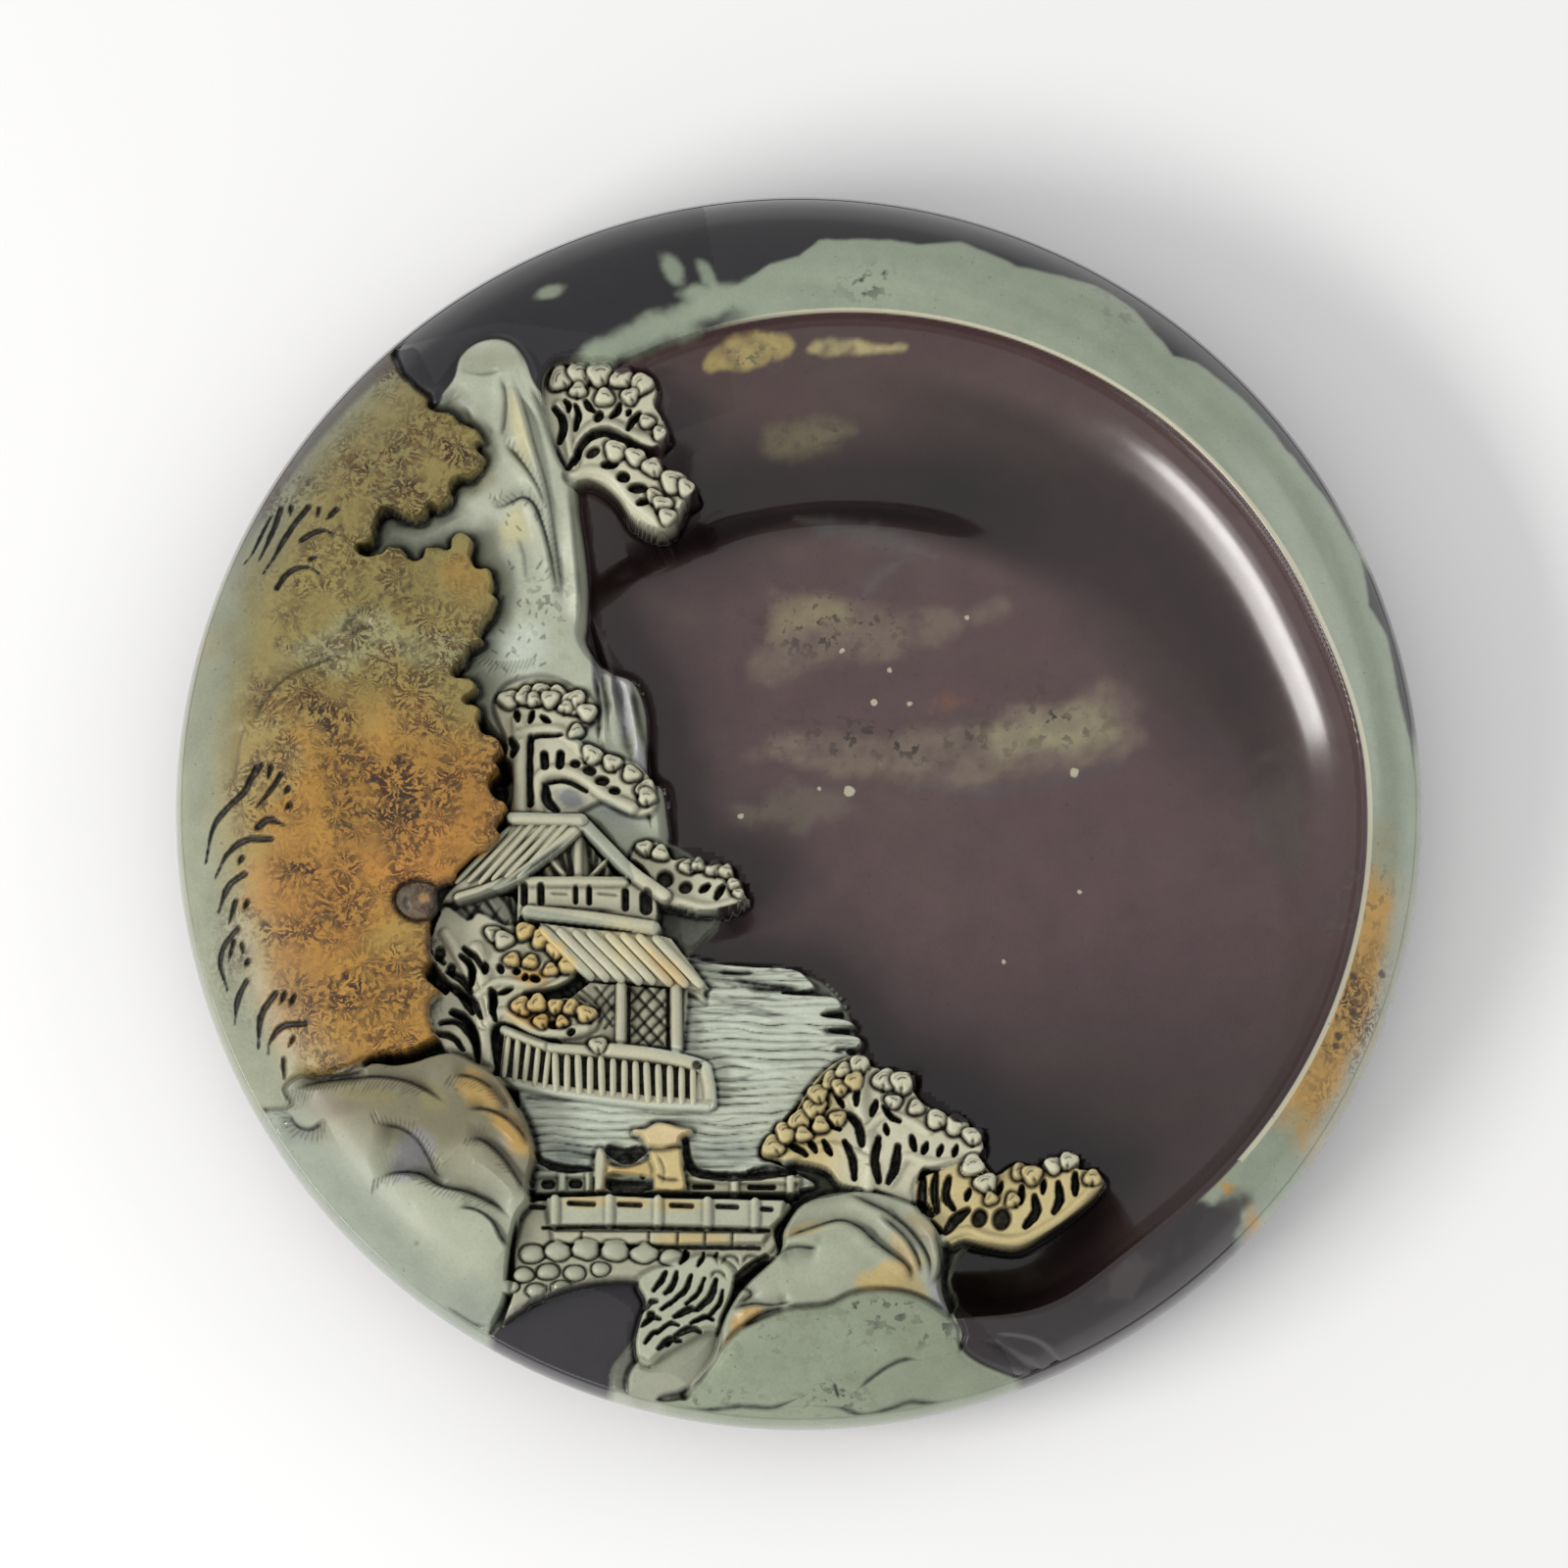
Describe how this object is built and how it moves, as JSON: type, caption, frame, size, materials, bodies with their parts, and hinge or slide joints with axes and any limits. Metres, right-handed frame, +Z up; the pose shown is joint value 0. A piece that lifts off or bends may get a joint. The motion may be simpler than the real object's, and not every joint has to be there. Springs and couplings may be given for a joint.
{
  "type": "ink stone",
  "caption": "Round laminated ink stone with a sunk grinding floor, a crescent ink pool and a landscape carved in relief along one side.",
  "frame": {"origin": "centre of the underside, on the surface that the stone lies on", "axes": "+Z up through the stone, +X towards the right edge of the well, +Y towards the ink pool"},
  "size_m": [0.25, 0.25, 0.036],
  "materials": {
    "purple_stone": "honed and waxed",
    "floor_stone": "honed",
    "rim_purple": "polished",
    "rim_green": "polished",
    "rim_ochre": "polished",
    "lip_purple": "polished",
    "bank_ochre": "carved and waxed",
    "cliff_green": "carved and waxed",
    "pine_green": "carved and waxed",
    "water_green": "carved and waxed",
    "house_stone": "carved and waxed",
    "blossom_ochre": "carved and waxed",
    "figure_stone": "carved and waxed",
    "bridge_stone": "carved and waxed",
    "rock_green": "carved and waxed",
    "shore_stone": "carved and waxed",
    "pine_ochre": "carved and waxed"
  },
  "bodies": {
    "root": {"purple_body": "purple_stone", "grinding_floor": "floor_stone", "purple_shoulder": "rim_purple", "green_rim": "rim_green", "ochre_rim": "rim_ochre", "lower_lip": "lip_purple", "ochre_bank": "bank_ochre", "cliff": "cliff_green", "upper_pine": "pine_green", "middle_pine": "pine_green", "side_pine": "pine_green", "water": "water_green", "upper_roof": "house_stone", "upper_storey": "house_stone", "lower_roof": "house_stone", "lower_storey": "house_stone", "balustrade": "house_stone", "blossom_tree": "blossom_ochre", "travellers": "figure_stone", "bridge": "bridge_stone", "bridge_parapet": "bridge_stone", "bridge_shrub": "pine_green", "left_rock": "rock_green", "right_rock": "rock_green", "near_shore": "shore_stone", "right_pine": "pine_green", "low_pine": "pine_ochre"}
  },
  "joints": []
}
